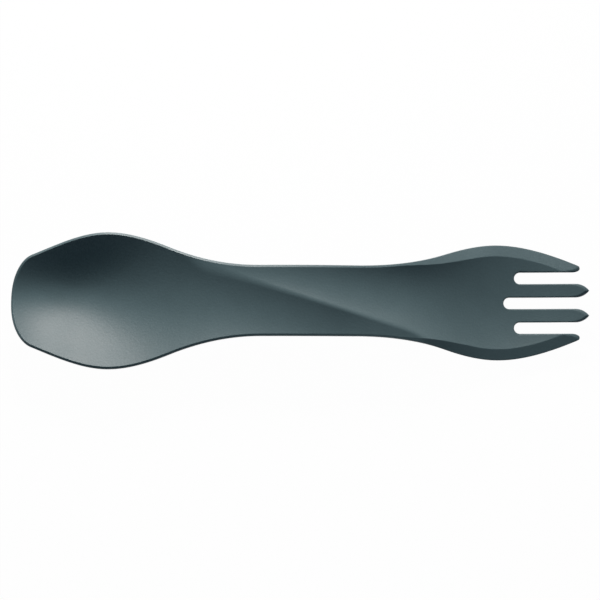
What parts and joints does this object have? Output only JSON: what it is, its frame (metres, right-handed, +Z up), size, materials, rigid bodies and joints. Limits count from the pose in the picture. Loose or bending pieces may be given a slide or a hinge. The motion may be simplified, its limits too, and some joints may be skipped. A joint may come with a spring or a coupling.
{
  "type": "spork",
  "caption": "One-piece moulded eating utensil with a spoon bowl at one end, a bevelled fork at the other and a channelled handle with a diagonal crest.",
  "frame": {"origin": "on the table, under the middle of the length", "axes": "+X from the spoon to the fork, +Y across the handle, +Z up, out of the bowl"},
  "size_m": [0.16, 0.0378, 0.0142],
  "materials": {
    "nylon": "satin, dark slate grey moulded nylon"
  },
  "bodies": {
    "root": {"spork": "nylon"}
  },
  "joints": []
}
